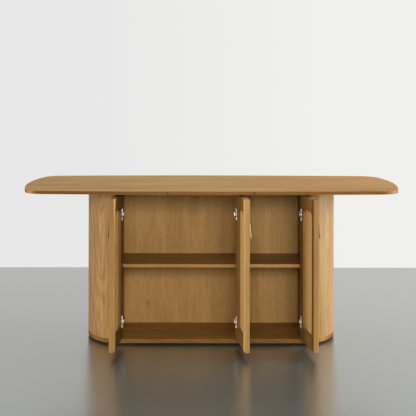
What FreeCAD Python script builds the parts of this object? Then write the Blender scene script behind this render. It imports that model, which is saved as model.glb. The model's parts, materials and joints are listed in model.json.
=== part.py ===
import FreeCAD, Part
import Sketcher
import math
import os

# Kitchen table on a storage base.  Millimetres, +Z up, front of the base towards -Y.
# The origin is on the floor, under the middle of the base and of the table top.
# The doors are drawn open, as the piece is shown: their joints count from there.

Vector = FreeCAD.Vector
Rotation = FreeCAD.Rotation
Placement = FreeCAD.Placement
Z_AXIS = Vector(0, 0, 1)

doc = FreeCAD.newDocument("storage_table")

SIZES = (
    # table top: a slab bounded by eight tangent arcs
    ("table_height", 762),
    ("top_length", 1848),
    ("top_width", 863),
    ("top_thickness", 17),
    ("top_side_radius", 11700),
    ("top_end_radius", 1550),
    ("top_corner_radius", 108),
    ("top_edge_bevel", 2),
    # storage base: straight front and rear, bowed ends
    ("base_length", 1238),
    ("base_depth", 498),
    ("base_end_radius", 330),
    ("base_corner_radius", 104),
    ("shell_thickness", 12),
    ("plinth_height", 9),
    ("plinth_inset", 28),
    ("bottom_thickness", 20),
    ("bottom_edge_bevel", 1.5),
    ("side_thickness", 14),
    ("divider_thickness", 18),
    ("ceiling_thickness", 18),
    ("rear_thickness", 15),
    ("back_thickness", 8),
    ("storage_depth", 363),
    # adjustable shelves on pins
    ("shelf_thickness", 17),
    ("shelf_top_height", 387.5),
    ("shelf_clearance", 0.5),
    ("shelf_door_clearance", 1),
    ("shelf_edge_round", 1.5),
    ("pin_radius", 2.5),
    ("pin_seat", 8),
    ("pin_reach", 9),
    ("pin_inset", 45),
    # three framed doors
    ("door_thickness", 24),
    ("door_side_gap", 2),
    ("door_meeting_gap", 3),
    ("door_floor_gap", 3.5),
    ("door_top_gap", 10),
    ("door_edge_bevel", 1.2),
    ("door_inner_round", 7),
    ("hinge_stile", 74),
    ("free_stile", 38),
    ("door_rail", 64),
    ("window_radius", 35),
    ("panel_setback", 11.5),
    ("panel_thickness", 6),
    ("panel_tongue", 9),
    ("panel_play", 1),
    ("axis_in_wall", 1.5),
    ("axis_behind_front", 2),
    ("left_door_angle", 93.6),
    ("middle_door_angle", 96.8),
    ("right_door_angle", 97.7),
    # concealed hinges
    ("hinge_from_bottom", 86),
    ("hinge_from_top", 99),
    ("cup_radius", 17.5),
    ("cup_depth", 11.5),
    ("cup_wall", 1),
    ("cup_setback", 22.5),
    ("ear_length", 5),
    ("ear_setback", 6.8),
    ("ear_height", 8),
    ("ear_thickness", 1.2),
    ("flange_height", 60),
    ("flange_width", 24),
    ("flange_thickness", 3),
    ("flange_corner", 3),
    ("plate_thickness", 5),
    ("plate_height", 46),
    ("plate_length", 34),
    ("plate_corner", 6),
    ("plate_setback", 60),
    ("arm_width", 14),
    ("arm_overlap", 4),
    ("pivot_from_wall", 25),
    ("pivot_from_front", 32),
    ("pivot_radius", 1.5),
    ("pivot_play", 0.06),
    ("eye_radius", 3),
    ("cheek_thickness", 1.6),
    ("link_play", 0.3),
    ("link_length", 56),
    ("link_thickness", 2.5),
    # tab pulls
    ("pull_width", 20),
    ("pull_from_top", 112),
    ("pull_length", 67),
    ("pull_free_edge_gap", 12),
    ("pull_foot_height", 17),
    ("pull_foot_depth", 5),
    ("pull_leaf_thickness", 2.4),
    ("pull_leaf_lift", 9),
    ("pull_foot_round", 3),
)

WORKED = (
    ("carcass_bottom", "Sizes.plinth_height + Sizes.bottom_thickness"),
    ("carcass_top", "Sizes.table_height - Sizes.top_thickness"),
    ("carcass_height", "Worked.carcass_top - Worked.carcass_bottom"),
    ("ceiling_bottom", "Worked.carcass_top - Sizes.ceiling_thickness"),
    ("straight_half",
     "Sizes.base_length / 2 - Sizes.base_end_radius"
     " + sqrt(pow(Sizes.base_end_radius - Sizes.base_corner_radius; 2)"
     " - pow(Sizes.base_depth / 2 - Sizes.base_corner_radius; 2))"),
    ("inner_half", "Worked.straight_half - Sizes.side_thickness"),
    ("front_y", "-Sizes.base_depth / 2"),
    ("back_face_y", "Worked.front_y + Sizes.storage_depth"),
    ("rear_face_y", "Sizes.base_depth / 2 - Sizes.rear_thickness"),
    ("shelf_front_y",
     "Worked.front_y + Sizes.door_thickness + Sizes.shelf_door_clearance"),
    ("door_width",
     "(2 * Worked.inner_half - Sizes.divider_thickness - 4 * Sizes.door_side_gap"
     " - Sizes.door_meeting_gap) / 3"),
    ("door_bottom", "Worked.carcass_bottom + Sizes.door_floor_gap"),
    ("door_height", "Worked.carcass_top - Sizes.door_top_gap - Worked.door_bottom"),
    ("divider_left",
     "-Worked.inner_half + 2 * Worked.door_width + 2 * Sizes.door_side_gap"
     " + Sizes.door_meeting_gap"),
    ("divider_right", "Worked.divider_left + Sizes.divider_thickness"),
    ("low_hinge", "Worked.door_bottom + Sizes.hinge_from_bottom"),
    ("high_hinge", "Worked.door_bottom + Worked.door_height - Sizes.hinge_from_top"),
)


def make_sheet(name, rows, prefix=""):
    """A sheet of names and contents; all names come first, as contents may refer to them."""
    sheet = doc.addObject("Spreadsheet::Sheet", name)
    for row, (alias, _) in enumerate(rows, start=1):
        sheet.set(f"A{row}", alias)
        sheet.set(f"B{row}", "0")
        sheet.setAlias(f"B{row}", alias)
    for row, (_, content) in enumerate(rows, start=1):
        sheet.set(f"B{row}", f"{prefix}{content}")
    return sheet


sizes = make_sheet("Sizes", SIZES)
make_sheet("Worked", WORKED, prefix="=")
doc.recompute()

parts = []


def number(expression):
    """The present value of an expression over the two sheets."""
    return float(sizes.evalExpression(expression))


def keep(item, label):
    """Give a finished sub-part its own name."""
    item.Label = label
    parts.append(item)
    return item


def place(item, x="0", y="0", z="0"):
    for axis, expression in (("x", x), ("y", y), ("z", z)):
        item.setExpression(f"Placement.Base.{axis}", expression)


def board(label, length, depth, height, x, y, z):
    """A plain sawn board, from its low corner."""
    box = doc.addObject("Part::Box", label)
    box.setExpression("Length", length)
    box.setExpression("Width", depth)
    box.setExpression("Height", height)
    place(box, x, y, z)
    return box


def rounded(solid, radius, choose):
    """Round the chosen edges of a finished primitive."""
    doc.recompute()
    edges = [n for n, edge in enumerate(solid.Shape.Edges, start=1) if choose(edge)]
    fillet = doc.addObject("Part::Fillet", f"{solid.Name}_rounded")
    fillet.Base = solid
    fillet.Edges = [(n, number(radius), number(radius)) for n in edges]
    return fillet


def drilled(solid, tools):
    """Cut holes, given as primitives, from a solid."""
    cut = doc.addObject("Part::Cut", f"{solid.Name}_drilled")
    cut.Base = solid
    cut.Tool = tools
    return cut


# ---------------------------------------------------------------- sketches

def new_body(name):
    return doc.addObject("PartDesign::Body", name)


def plane_of(body, role):
    return next(f for f in body.Origin.OriginFeatures if f.Role == role)


def new_sketch(body, name, role="XY_Plane", lift=None):
    sketch = body.newObject("Sketcher::SketchObject", name)
    sketch.AttachmentSupport = [(plane_of(body, role), "")]
    sketch.MapMode = "FlatFace"
    if lift is not None:
        sketch.setExpression("AttachmentOffset.Base.z", lift)
    return sketch


def constrain(sketch, name, expression, *arguments):
    """A named dimension, driven by an expression over the sheets."""
    index = sketch.addConstraint(Sketcher.Constraint(*arguments, number(expression)))
    sketch.renameConstraint(index, name)
    sketch.setExpression(f"Constraints.{name}", expression)


def arc(centre, radius, start, end):
    circle = Part.Circle(Vector(*centre, 0), Z_AXIS, radius)
    return Part.ArcOfCircle(circle, start, end)


def line(start, end):
    return Part.LineSegment(Vector(*start, 0), Vector(*end, 0))


def chain(sketch, count):
    """Join consecutive edges end to start, tangent to each other."""
    for edge in range(count):
        following = (edge + 1) % count
        sketch.addConstraint(Sketcher.Constraint("Tangent", edge, 2, following, 1))


ORIGIN_POINT = (-1, 1)
CENTRE = 3


def top_outline(sketch):
    """Long bowed sides, slightly bowed ends and round corners, all tangent arcs."""
    half_length = number("Sizes.top_length / 2")
    half_width = number("Sizes.top_width / 2")
    side = number("Sizes.top_side_radius")
    end = number("Sizes.top_end_radius")
    corner = number("Sizes.top_corner_radius")
    side_centre = side - half_width
    end_centre = end - half_length
    # the corner's centre lies side-corner from one centre and end-corner from the other
    span = math.hypot(side_centre, end_centre)
    from_side = side - corner
    from_end = end - corner
    along = (from_side ** 2 - from_end ** 2 + span ** 2) / (2 * span)
    across = math.sqrt(from_side ** 2 - along ** 2)
    ux, uy = -end_centre / span, side_centre / span
    corner_x = along * ux + across * uy
    corner_y = -side_centre + along * uy - across * ux
    side_turn = math.atan2(corner_y + side_centre, corner_x)
    end_turn = math.atan2(corner_y, corner_x + end_centre)
    full = math.pi
    sketch.addGeometry([
        arc((-end_centre, 0), end, -end_turn, end_turn),
        arc((corner_x, corner_y), corner, end_turn, side_turn),
        arc((0, -side_centre), side, side_turn, full - side_turn),
        arc((-corner_x, corner_y), corner, full - side_turn, full - end_turn),
        arc((end_centre, 0), end, full - end_turn, full + end_turn),
        arc((-corner_x, -corner_y), corner, full + end_turn, full + side_turn),
        arc((0, side_centre), side, full + side_turn, 2 * full - side_turn),
        arc((corner_x, -corner_y), corner, 2 * full - side_turn, 2 * full - end_turn),
    ])
    chain(sketch, 8)
    for edge in (0, 4):
        sketch.addConstraint(Sketcher.Constraint("PointOnObject", edge, CENTRE, -1))
    for edge in (2, 6):
        sketch.addConstraint(Sketcher.Constraint("PointOnObject", edge, CENTRE, -2))
    for edge in (3, 5, 7):
        sketch.addConstraint(Sketcher.Constraint("Equal", 1, edge))
    sketch.addConstraint(Sketcher.Constraint("Equal", 0, 4))
    sketch.addConstraint(Sketcher.Constraint("Equal", 2, 6))
    constrain(sketch, "end_radius", "Sizes.top_end_radius", "Radius", 0)
    constrain(sketch, "corner_radius", "Sizes.top_corner_radius", "Radius", 1)
    constrain(sketch, "side_radius", "Sizes.top_side_radius", "Radius", 2)
    end_place = "Sizes.top_end_radius - Sizes.top_length / 2"
    side_place = "Sizes.top_side_radius - Sizes.top_width / 2"
    constrain(sketch, "right_place", end_place, "DistanceX", 0, CENTRE, *ORIGIN_POINT)
    constrain(sketch, "left_place", end_place, "DistanceX", *ORIGIN_POINT, 4, CENTRE)
    constrain(sketch, "rear_place", side_place, "DistanceY", 2, CENTRE, *ORIGIN_POINT)
    constrain(sketch, "front_place", side_place, "DistanceY", *ORIGIN_POINT, 6, CENTRE)


def base_outline(sketch, inset):
    """The base's plan: two straight sides and two bowed ends, drawn in by the inset."""
    inward = number(inset)
    half_length = number("Sizes.base_length / 2")
    half_depth = number("Sizes.base_depth / 2")
    end = number("Sizes.base_end_radius")
    corner = number("Sizes.base_corner_radius")
    straight = number("Worked.straight_half")
    centre_x = half_length - end
    corner_y = half_depth - corner
    turn = math.atan2(corner_y, straight - centre_x)
    side_y = half_depth - inward
    half_turn = math.pi / 2
    full = math.pi
    sketch.addGeometry([
        arc((centre_x, 0), end - inward, -turn, turn),
        arc((straight, corner_y), corner - inward, turn, half_turn),
        line((straight, side_y), (-straight, side_y)),
        arc((-straight, corner_y), corner - inward, half_turn, full - turn),
        arc((-centre_x, 0), end - inward, full - turn, full + turn),
        arc((-straight, -corner_y), corner - inward, full + turn, full + half_turn),
        line((-straight, -side_y), (straight, -side_y)),
        arc((straight, -corner_y), corner - inward, full + half_turn, 2 * full - turn),
    ])
    chain(sketch, 8)
    for edge in (0, 4):
        sketch.addConstraint(Sketcher.Constraint("PointOnObject", edge, CENTRE, -1))
    for edge in (2, 6):
        sketch.addConstraint(Sketcher.Constraint("Horizontal", edge))
    for edge in (3, 5, 7):
        sketch.addConstraint(Sketcher.Constraint("Equal", 1, edge))
    sketch.addConstraint(Sketcher.Constraint("Equal", 0, 4))
    end_place = "Sizes.base_length / 2 - Sizes.base_end_radius"
    constrain(sketch, "end_radius", f"Sizes.base_end_radius - {inset}", "Radius", 0)
    constrain(sketch, "corner_radius", f"Sizes.base_corner_radius - {inset}", "Radius", 1)
    constrain(sketch, "right_place", end_place, "DistanceX", *ORIGIN_POINT, 0, CENTRE)
    constrain(sketch, "left_place", end_place, "DistanceX", 4, CENTRE, *ORIGIN_POINT)
    side_place = f"Sizes.base_depth / 2 - {inset}"
    constrain(sketch, "rear_side", side_place, "DistanceY", *ORIGIN_POINT, 2, 1)
    constrain(sketch, "front_side", side_place, "DistanceY", 6, 1, *ORIGIN_POINT)


def window_outline(sketch, left, right, low, high, radius):
    """A rectangle with four equal round corners; x to the right, y upwards."""
    x0, x1, y0, y1, r = (number(e) for e in (left, right, low, high, radius))
    quarter = math.pi / 2
    sketch.addGeometry([
        line((x0 + r, y0), (x1 - r, y0)),
        arc((x1 - r, y0 + r), r, 3 * quarter, 4 * quarter),
        line((x1, y0 + r), (x1, y1 - r)),
        arc((x1 - r, y1 - r), r, 0, quarter),
        line((x1 - r, y1), (x0 + r, y1)),
        arc((x0 + r, y1 - r), r, quarter, 2 * quarter),
        line((x0, y1 - r), (x0, y0 + r)),
        arc((x0 + r, y0 + r), r, 2 * quarter, 3 * quarter),
    ])
    chain(sketch, 8)
    for edge in (0, 4):
        sketch.addConstraint(Sketcher.Constraint("Horizontal", edge))
    for edge in (2, 6):
        sketch.addConstraint(Sketcher.Constraint("Vertical", edge))
    for edge in (3, 5, 7):
        sketch.addConstraint(Sketcher.Constraint("Equal", 1, edge))
    constrain(sketch, "corner", radius, "Radius", 1)
    constrain(sketch, "low", low, "DistanceY", *ORIGIN_POINT, 0, 1)
    constrain(sketch, "high", high, "DistanceY", *ORIGIN_POINT, 4, 1)
    constrain(sketch, "right", right, "DistanceX", *ORIGIN_POINT, 2, 1)
    constrain(sketch, "left", left, "DistanceX", *ORIGIN_POINT, 6, 1)


def pad(body, sketch, length, reverse=False, midplane=False):
    feature = body.newObject("PartDesign::Pad", f"{sketch.Name}_pad")
    feature.Profile = sketch
    feature.setExpression("Length", length)
    feature.Reversed = reverse
    feature.Midplane = midplane
    doc.recompute()
    return feature


def pocket(body, sketch, length, reverse=False, midplane=False):
    before = body.Shape.Volume
    feature = body.newObject("PartDesign::Pocket", f"{sketch.Name}_pocket")
    feature.Profile = sketch
    feature.setExpression("Length", length)
    feature.Reversed = reverse
    feature.Midplane = midplane
    doc.recompute()
    if body.Shape.Volume >= before:
        raise RuntimeError(f"{sketch.Name} cuts nothing")
    return feature


def dress(body, kind, size_property, size, choose):
    """A Fillet or Chamfer on the edges of the body's tip that choose() accepts."""
    tip = body.Tip
    names = [f"Edge{n}" for n, edge in enumerate(tip.Shape.Edges, start=1) if choose(edge)]
    feature = body.newObject(f"PartDesign::{kind}", f"{body.Name}_{kind.lower()}")
    feature.Base = (tip, names)
    feature.setExpression(size_property, size)
    doc.recompute()
    return feature


def is_level(edge):
    """True for an edge that lies in one horizontal plane."""
    return edge.BoundBox.ZLength < 1e-6


# ---------------------------------------------------------------- top and carcass

def slab(label, draw, thickness, base_z, bevel=None):
    """A board of the drawn outline, its upper and lower edges eased by the bevel."""
    body = new_body(label)
    outline = new_sketch(body, f"{label}_outline")
    draw(outline)
    pad(body, outline, thickness)
    if bevel:
        dress(body, "Chamfer", "Size", bevel, is_level)
    place(body, z=base_z)
    return keep(body, label)


def end_shell(label, side):
    """A bent plywood skin round one end; side is +1 on the right, -1 on the left."""
    body = new_body(label)
    sketch = new_sketch(body, f"{label}_plan")
    end = number("Sizes.base_end_radius")
    corner = number("Sizes.base_corner_radius")
    skin = number("Sizes.shell_thickness")
    straight = number("Worked.straight_half")
    half_depth = number("Sizes.base_depth / 2")
    centre_x = number("Sizes.base_length / 2") - end
    corner_y = half_depth - corner
    turn = math.atan2(corner_y, straight - centre_x)

    def mirrored(centre, radius, start, finish):
        if side > 0:
            return arc(centre, radius, start, finish)
        return arc((-centre[0], centre[1]), radius, math.pi - finish, math.pi - start)

    for inward in (0, skin):
        sketch.addGeometry([
            mirrored((straight, -corner_y), corner - inward, -math.pi / 2, -turn),
            mirrored((centre_x, 0), end - inward, -turn, turn),
            mirrored((straight, corner_y), corner - inward, turn, math.pi / 2),
        ])
    sketch.addGeometry([
        line((side * straight, -half_depth), (side * straight, skin - half_depth)),
        line((side * straight, half_depth - skin), (side * straight, half_depth)),
    ])
    low, high = (1, 2) if side > 0 else (2, 1)
    for first in (0, 3):
        for edge in (first, first + 1):
            sketch.addConstraint(
                Sketcher.Constraint("Tangent", edge, high, edge + 1, low))
    for strip, edge, end_point in ((6, 0, low), (7, 2, high)):
        strip_points = (1, 2) if strip == 6 else (2, 1)
        for arc_edge, strip_point in ((edge, strip_points[0]), (edge + 3, strip_points[1])):
            sketch.addConstraint(Sketcher.Constraint(
                "Coincident", arc_edge, end_point, strip, strip_point))
        sketch.addConstraint(Sketcher.Constraint("Vertical", strip))
    for edge in (1, 4):
        sketch.addConstraint(Sketcher.Constraint("PointOnObject", edge, CENTRE, -1))
    for edge in (0, 2):
        sketch.addConstraint(
            Sketcher.Constraint("Coincident", edge, CENTRE, edge + 3, CENTRE))
    sketch.addConstraint(Sketcher.Constraint("Equal", 0, 2))
    constrain(sketch, "end_radius", "Sizes.base_end_radius", "Radius", 1)
    constrain(sketch, "corner_radius", "Sizes.base_corner_radius", "Radius", 0)
    constrain(sketch, "inner_corner", "Sizes.base_corner_radius - Sizes.shell_thickness",
              "Radius", 3)
    order = (*ORIGIN_POINT, 1, CENTRE) if side > 0 else (1, CENTRE, *ORIGIN_POINT)
    constrain(sketch, "end_place", "Sizes.base_length / 2 - Sizes.base_end_radius",
              "DistanceX", *order)
    for name, edge, point in (("front", 6, 1), ("rear", 7, 2)):
        order = (edge, point, *ORIGIN_POINT) if name == "front" else (
            *ORIGIN_POINT, edge, point)
        constrain(sketch, name, "Sizes.base_depth / 2", "DistanceY", *order)
    pad(body, sketch, "Worked.carcass_height")
    place(body, z="Worked.carcass_bottom")
    return keep(body, label)


def pin_cylinders(name, wall_x, inward):
    """Two pins in one wall; inward is +1 where the compartment is at larger x."""
    pins = []
    for spot, y in (("front", "Worked.shelf_front_y + Sizes.pin_inset"),
                    ("rear", "Worked.back_face_y - Sizes.pin_inset")):
        pin = doc.addObject("Part::Cylinder", f"{name}_{spot}_pin")
        pin.setExpression("Radius", "Sizes.pin_radius")
        pin.setExpression("Height", "Sizes.pin_seat + Sizes.pin_reach")
        pin.Placement = Placement(Vector(), Rotation(Vector(0, 1, 0), 90))
        start = "Sizes.pin_seat" if inward > 0 else "Sizes.pin_reach"
        place(pin, f"{wall_x} - {start}", y,
              "Sizes.shelf_top_height - Sizes.shelf_thickness - Sizes.pin_radius")
        pins.append(pin)
    return pins


def make_carcass():
    height = "Worked.carcass_height"
    low = "Worked.carcass_bottom"
    depth = "Sizes.base_depth"
    pins = {
        "left_wall": pin_cylinders("left_wall", "-Worked.inner_half", 1),
        "left_divider": pin_cylinders("left_divider", "Worked.divider_left", -1),
        "right_divider": pin_cylinders("right_divider", "Worked.divider_right", 1),
        "right_wall": pin_cylinders("right_wall", "Worked.inner_half", -1),
    }
    left_side = board("left_side_board", "Sizes.side_thickness", depth, height,
                      "-Worked.straight_half", "Worked.front_y", low)
    right_side = board("right_side_board", "Sizes.side_thickness", depth, height,
                       "Worked.inner_half", "Worked.front_y", low)
    divider = board("divider_board", "Sizes.divider_thickness", "Sizes.storage_depth",
                    "Worked.ceiling_bottom - Worked.carcass_bottom",
                    "Worked.divider_left", "Worked.front_y", low)
    for wall, label, spots in (
            (left_side, "left_side_panel", ("left_wall",)),
            (right_side, "right_side_panel", ("right_wall",)),
            (divider, "divider", ("left_divider", "right_divider"))):
        tools = doc.addObject("Part::Compound", f"{label}_pin_holes")
        tools.Links = [pin for spot in spots for pin in pins[spot]]
        keep(drilled(wall, tools), label)
    all_pins = doc.addObject("Part::Compound", "shelf_pin_group")
    all_pins.Links = [pin for group in pins.values() for pin in group]
    keep(all_pins, "shelf_pins")
    keep(board("ceiling", "2 * Worked.inner_half",
               "Worked.rear_face_y - Worked.shelf_front_y", "Sizes.ceiling_thickness",
               "-Worked.inner_half", "Worked.shelf_front_y", "Worked.ceiling_bottom"),
         "ceiling_board")
    keep(board("back", "2 * Worked.inner_half", "Sizes.back_thickness",
               "Worked.ceiling_bottom - Worked.carcass_bottom",
               "-Worked.inner_half", "Worked.back_face_y", low), "back_panel")
    keep(board("rear", "2 * Worked.inner_half", "Sizes.rear_thickness", height,
               "-Worked.inner_half", "Worked.rear_face_y", low), "rear_panel")


def make_shelf(label, left, right):
    """A loose shelf between two walls, its front edges eased."""
    clearance = "Sizes.shelf_clearance"
    plank = board(f"{label}_board", f"{right} - ({left}) - 2 * {clearance}",
                  f"Worked.back_face_y - Worked.shelf_front_y - {clearance}",
                  "Sizes.shelf_thickness", f"{left} + {clearance}",
                  "Worked.shelf_front_y",
                  "Sizes.shelf_top_height - Sizes.shelf_thickness")
    front = number("Worked.shelf_front_y")

    def on_front(edge):
        box = edge.BoundBox
        return box.XLength > box.ZLength and abs(box.YMax - front) < 1e-3

    keep(rounded(plank, "Sizes.shelf_edge_round", on_front), label)


# ---------------------------------------------------------------- doors

class Door:
    """One door: its name, the wall that carries it and the side its hinges are on."""

    def __init__(self, name, wall, side, angle):
        self.name = name
        self.wall = wall
        self.side = side
        self.angle = angle

    def across(self, distance):
        """The x of a point at a distance from the hinge edge, in the closed door."""
        return f"{self.side} * ({distance})"

    def span(self, near, far):
        """Left and right limits of a stretch from near to far of the hinge edge."""
        ends = (self.across(near), self.across(far))
        return ends if self.side > 0 else ends[::-1]

    def corner(self):
        """The hinge edge's outer corner, swung open about the door's axis, which lies
        a little inside the wall and behind the front."""
        reach = "(Sizes.door_side_gap + Sizes.axis_in_wall)"
        depth = "Sizes.axis_behind_front"
        x = (f"{self.wall} + {self.side} * ({reach} * cos({self.angle})"
             f" - {depth} * sin({self.angle}) - Sizes.axis_in_wall)")
        y = (f"Worked.front_y + {depth} - {reach} * sin({self.angle})"
             f" - {depth} * cos({self.angle})")
        return x, y

    def hang(self, item):
        """Put a piece drawn on the closed door, from its hinge corner, in the open door."""
        place(item, *self.corner(), "Worked.door_bottom")
        item.setExpression("Placement.Rotation.Angle", f"{-self.side} * {self.angle}")

    def open_placement(self):
        """The same place as hang(), as a value."""
        turn = Rotation(Z_AXIS, -self.side * number(self.angle))
        x, y = self.corner()
        return Placement(Vector(number(x), number(y), number("Worked.door_bottom")), turn)


DOORS = (
    Door("left", "-Worked.inner_half", 1, "Sizes.left_door_angle"),
    Door("middle", "Worked.divider_left", -1, "Sizes.middle_door_angle"),
    Door("right", "Worked.inner_half", -1, "Sizes.right_door_angle"),
)

WINDOW = ("Sizes.hinge_stile", "Worked.door_width - Sizes.free_stile")
WINDOW_LOW = "Sizes.door_rail"
WINDOW_HIGH = "Worked.door_height - Sizes.door_rail"
PANEL_MIDDLE = "-(Sizes.door_thickness - Sizes.panel_setback - Sizes.panel_thickness / 2)"


def make_door_frame(door):
    """Stiles and rails round a window, with a groove for the panel."""
    label = f"{door.name}_door_frame"
    body = new_body(label)
    slab_sketch = new_sketch(body, f"{label}_outline", "XZ_Plane")
    left, right = door.span("0", "Worked.door_width")
    x0, x1, top = number(left), number(right), number("Worked.door_height")
    corners = ((x0, 0), (x1, 0), (x1, top), (x0, top))
    slab_sketch.addGeometry([line(corners[n], corners[(n + 1) % 4]) for n in range(4)])
    for edge in range(4):
        slab_sketch.addConstraint(
            Sketcher.Constraint("Coincident", edge, 2, (edge + 1) % 4, 1))
        direction = "Vertical" if edge % 2 else "Horizontal"
        slab_sketch.addConstraint(Sketcher.Constraint(direction, edge))
    hinge_corner = (0, 1) if door.side > 0 else (1, 1)
    slab_sketch.addConstraint(
        Sketcher.Constraint("Coincident", *hinge_corner, *ORIGIN_POINT))
    constrain(slab_sketch, "width", "Worked.door_width", "DistanceX", 0, 1, 0, 2)
    constrain(slab_sketch, "height", "Worked.door_height", "DistanceY", 1, 1, 1, 2)
    pad(body, slab_sketch, "Sizes.door_thickness", reverse=True)
    inner_face = number("Sizes.door_thickness")

    def in_plane(edge, y):
        box = edge.BoundBox
        return abs(box.YMin - y) < 1e-6 and abs(box.YMax - y) < 1e-6

    def inner_rim(edge):
        box = edge.BoundBox
        on_hinge_edge = abs(box.XMin) < 1e-6 and abs(box.XMax) < 1e-6
        return in_plane(edge, inner_face) and not on_hinge_edge

    dress(body, "Fillet", "Radius", "Sizes.door_inner_round", inner_rim)
    dress(body, "Chamfer", "Size", "Sizes.door_edge_bevel", lambda e: in_plane(e, 0))
    window = new_sketch(body, f"{label}_window", "XZ_Plane")
    window_outline(window, *door.span(*WINDOW), WINDOW_LOW, WINDOW_HIGH,
                   "Sizes.window_radius")
    pocket(body, window, "Sizes.door_thickness")
    groove = new_sketch(body, f"{label}_groove", "XZ_Plane", PANEL_MIDDLE)
    tongue = "Sizes.panel_tongue"
    window_outline(groove,
                   *door.span(f"{WINDOW[0]} - {tongue}", f"{WINDOW[1]} + {tongue}"),
                   f"{WINDOW_LOW} - {tongue}", f"{WINDOW_HIGH} + {tongue}",
                   f"Sizes.window_radius + {tongue}")
    pocket(body, groove, "Sizes.panel_thickness", midplane=True)
    for spot, height in (("low", "Worked.low_hinge"), ("high", "Worked.high_hinge")):
        bore = new_sketch(body, f"{label}_{spot}_bore", "XZ_Plane",
                          "-Sizes.door_thickness")
        centre = (door.across("Sizes.cup_setback"), f"{height} - Worked.door_bottom")
        x, z = number(centre[0]), number(centre[1])
        bore.addGeometry(Part.Circle(Vector(x, z, 0), Z_AXIS, number("Sizes.cup_radius")))
        constrain(bore, "radius", "Sizes.cup_radius", "Radius", 0)
        order = (*ORIGIN_POINT, 0, CENTRE) if door.side > 0 else (0, CENTRE, *ORIGIN_POINT)
        constrain(bore, "setback", "Sizes.cup_setback", "DistanceX", *order)
        constrain(bore, "rise", centre[1], "DistanceY", *ORIGIN_POINT, 0, CENTRE)
        pocket(body, bore, "Sizes.cup_depth", reverse=True)
    door.hang(body)
    keep(body, label)


def make_door_panel(door):
    """The flat panel, held in the frame's groove with a little play."""
    label = f"{door.name}_door_panel"
    body = new_body(label)
    reach = "(Sizes.panel_tongue - Sizes.panel_play)"
    outline = new_sketch(body, f"{label}_outline", "XZ_Plane", PANEL_MIDDLE)
    window_outline(outline,
                   *door.span(f"{WINDOW[0]} - {reach}", f"{WINDOW[1]} + {reach}"),
                   f"{WINDOW_LOW} - {reach}", f"{WINDOW_HIGH} + {reach}",
                   f"Sizes.window_radius + {reach}")
    pad(body, outline, "Sizes.panel_thickness", midplane=True)
    door.hang(body)
    keep(body, label)


def hinge_heights():
    return [number("Worked.low_hinge"), number("Worked.high_hinge")]


def group(label, solids, placement=None):
    """A set of like pieces in one sub-part, shaped from the sheet's sizes."""
    feature = doc.addObject("Part::Feature", label)
    feature.Shape = Part.makeCompound(solids)
    if placement is not None:
        feature.Placement = placement
    return keep(feature, label)


def cornered_plate(width, height, thickness, cut):
    """A plate with cut corners, centred on the origin in XZ, thickness towards +Y."""
    plate = Part.makeBox(width, thickness, height, Vector(-width / 2, 0, -height / 2))
    corners = [edge for edge in plate.Edges if edge.BoundBox.YLength > thickness / 2]
    return plate.makeChamfer(cut, corners)


def make_cups(door):
    """Hollow cups sunk in the hinge stile, each with a flange and two ears.

    The ears stand either side of the link's end, a play away from it, on the
    cup's hinge-edge side so that they pass the arm as the door closes.
    """
    cup_radius = number("Sizes.cup_radius")
    wall = number("Sizes.cup_wall")
    depth = number("Sizes.cup_depth")
    flange = number("Sizes.flange_thickness")
    face = number("Sizes.door_thickness")
    setback = number("Sizes.cup_setback")
    ear_length = number("Sizes.ear_length")
    ear_height = number("Sizes.ear_height")
    ear_setback = number("Sizes.ear_setback")
    ear_thickness = number("Sizes.ear_thickness")
    ear_gap = number("Sizes.arm_width + 2 * Sizes.link_play")
    cups = []
    for height in hinge_heights():
        centre = Vector(door.side * setback, face, height - number("Worked.door_bottom"))
        body = Part.makeCylinder(cup_radius, depth, Vector(0, -depth, 0), Vector(0, 1, 0))
        plate = cornered_plate(number("Sizes.flange_width"),
                               number("Sizes.flange_height"), flange,
                               number("Sizes.flange_corner"))
        ring = Part.makeCylinder(cup_radius, flange, Vector(), Vector(0, 1, 0))
        hollow = Part.makeCylinder(cup_radius - wall, depth + flange,
                                   Vector(0, wall - depth, 0), Vector(0, 1, 0))
        cup = body.fuse([plate, ring]).cut(hollow)
        edge_side = -ear_setback - ear_length if door.side > 0 else ear_setback
        ears = [Part.makeBox(ear_length, depth - wall + ear_height, ear_thickness,
                             Vector(edge_side, wall - depth, low))
                for low in (ear_gap / 2, -ear_gap / 2 - ear_thickness)]
        cup = cup.fuse(ears).removeSplitter()
        cup.translate(centre)
        cups.append(cup)
    group(f"{door.name}_hinge_cups", cups, door.open_placement())


def from_wall(door, solid, height):
    """Move a piece drawn on a left wall (x off the wall, y behind the front) home."""
    if door.side < 0:
        solid = solid.mirror(Vector(), Vector(1, 0, 0))
    solid.translate(Vector(number(door.wall), number("Worked.front_y"), height))
    return solid


def flat_bar(points, width):
    """A profile of straight edges in XY, given a width along Z about z = 0."""
    loop = [Vector(x, y, -width / 2) for x, y in points]
    face = Part.Face(Part.makePolygon(loop + loop[:1]))
    return face.extrude(Vector(0, 0, width))


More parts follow.
